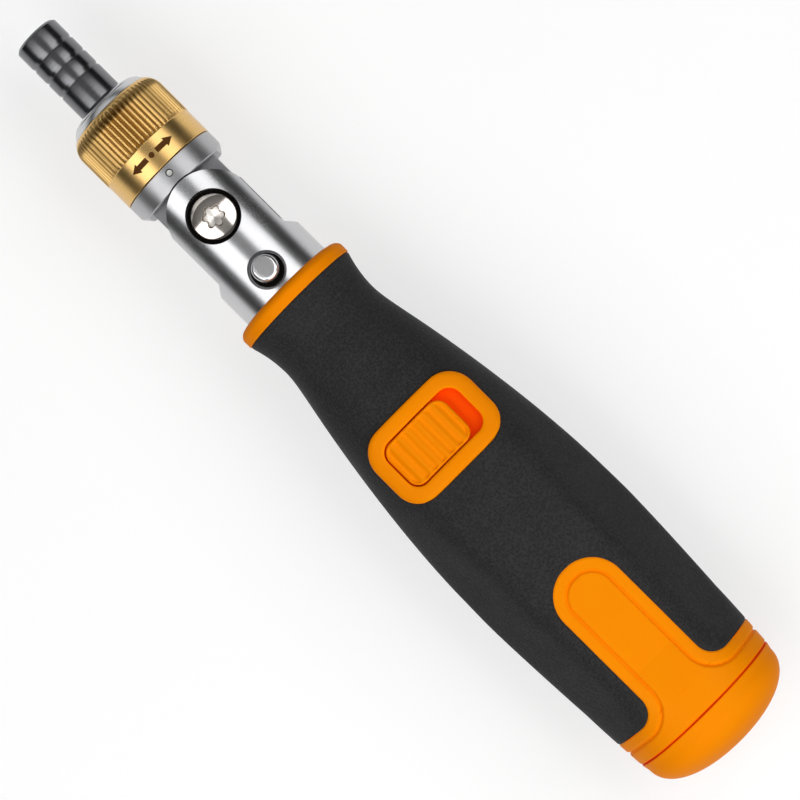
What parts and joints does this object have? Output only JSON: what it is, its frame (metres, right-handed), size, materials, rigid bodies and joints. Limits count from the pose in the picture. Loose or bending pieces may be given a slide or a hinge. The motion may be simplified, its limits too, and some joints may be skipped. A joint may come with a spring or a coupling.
{
  "type": "ratcheting screwdriver",
  "caption": "Ratcheting screwdriver with a brass reversing ring, a tilting lockable head, a six-sided soft grip and a sprung bit magazine that slides out of the handle.",
  "frame": {"origin": "centre of the bit socket's mouth", "axes": "+X along the tool from the tip to the tail, +Z towards the slide switch, +Y across the tool"},
  "size_m": [0.1944, 0.0382, 0.0346],
  "materials": {
    "polished_steel": "polished chrome",
    "gear_steel": "hardened steel",
    "magnet": "nickel-plated magnet",
    "spring_steel": "spring steel",
    "satin_steel": "satin chrome",
    "bronze": "sintered bronze",
    "brass": "turned brass with dark marks",
    "nickel": "nickel plate",
    "orange_plastic": "smooth orange plastic",
    "black_grip": "grained soft plastic",
    "dark_plastic": "dark plastic",
    "bit_steel": "bit steel"
  },
  "bodies": {
    "handle": {"neck_fork": "satin_steel", "pivot_screw": "nickel", "pivot_nut": "nickel", "tilt_washers": "spring_steel", "lock_spring": "spring_steel", "lock_plug": "satin_steel", "neck_pin": "spring_steel", "front_collar": "orange_plastic", "handle_core": "orange_plastic", "grip": "black_grip", "switch_bezel": "orange_plastic", "latch_block": "dark_plastic", "latch_wire": "spring_steel", "stop_ring": "dark_plastic", "eject_spring": "spring_steel"},
    "head": {"ratchet_body": "satin_steel", "front_cap": "satin_steel", "thrust_washer": "bronze", "spindle_bush": "bronze", "tilt_bush": "bronze", "pawl_spring": "spring_steel", "detent_spring": "spring_steel"},
    "spindle": {"bit_holder": "polished_steel", "ratchet_gear": "gear_steel", "bit_magnet": "magnet", "bit_snap_ring": "spring_steel"},
    "selector": {"selector_ring": "brass"},
    "left_pawl": {"pawl_left": "gear_steel"},
    "right_pawl": {"pawl_right": "gear_steel"},
    "button": {"lock_button": "polished_steel"},
    "bar": {"lock_bar": "gear_steel"},
    "switch": {"slide_switch": "orange_plastic"},
    "magazine": {"bit_carrier": "dark_plastic", "latch_stud": "satin_steel", "cap_stud": "spring_steel", "tail_cap": "orange_plastic", "front_bits": "bit_steel", "rear_bits": "bit_steel"}
  },
  "joints": [
    {"name": "head_tilt", "type": "hinge", "parent": "handle", "child": "head", "pos_m": [0.05075, 0, 0], "axis": [0, 0, 1], "range_deg": [-90, 90]},
    {"name": "spindle_spin", "type": "hinge", "parent": "head", "child": "spindle", "pos_m": [0.02, 0, 0], "axis": [1, 0, 0], "continuous": true},
    {"name": "selector_turn", "type": "hinge", "parent": "head", "child": "selector", "pos_m": [0.03, 0, 0], "axis": [1, 0, 0], "range_deg": [-20, 20], "deforming": ["detent_spring"]},
    {"name": "left_pawl_lift", "type": "slide", "parent": "head", "child": "left_pawl", "axis": [0, 1, 0], "range_m": [0, 0.0007], "stiffness_N_per_m": 300, "deforming": ["pawl_spring"]},
    {"name": "right_pawl_lift", "type": "slide", "parent": "head", "child": "right_pawl", "axis": [0, -1, 0], "range_m": [0, 0.0007], "stiffness_N_per_m": 300, "deforming": ["pawl_spring"]},
    {"name": "button_press", "type": "slide", "parent": "handle", "child": "button", "axis": [0, 0, -1], "range_m": [0, 0.0014], "stiffness_N_per_m": 900},
    {"name": "lock_bar_slide", "type": "slide", "parent": "handle", "child": "bar", "axis": [1, 0, 0], "range_m": [0, 0.0014], "deforming": ["lock_spring"]},
    {"name": "switch_slide", "type": "slide", "parent": "handle", "child": "switch", "axis": [0, 1, 0], "range_m": [0, 0.003], "stiffness_N_per_m": 700, "deforming": ["latch_wire"]},
    {"name": "magazine_slide", "type": "slide", "parent": "handle", "child": "magazine", "axis": [1, 0, 0], "range_m": [0, 0.0547], "deforming": ["latch_wire", "eject_spring"]}
  ],
  "couplings": [
    {"joint": "lock_bar_slide", "follows": "button_press", "ratio": 1}
  ]
}
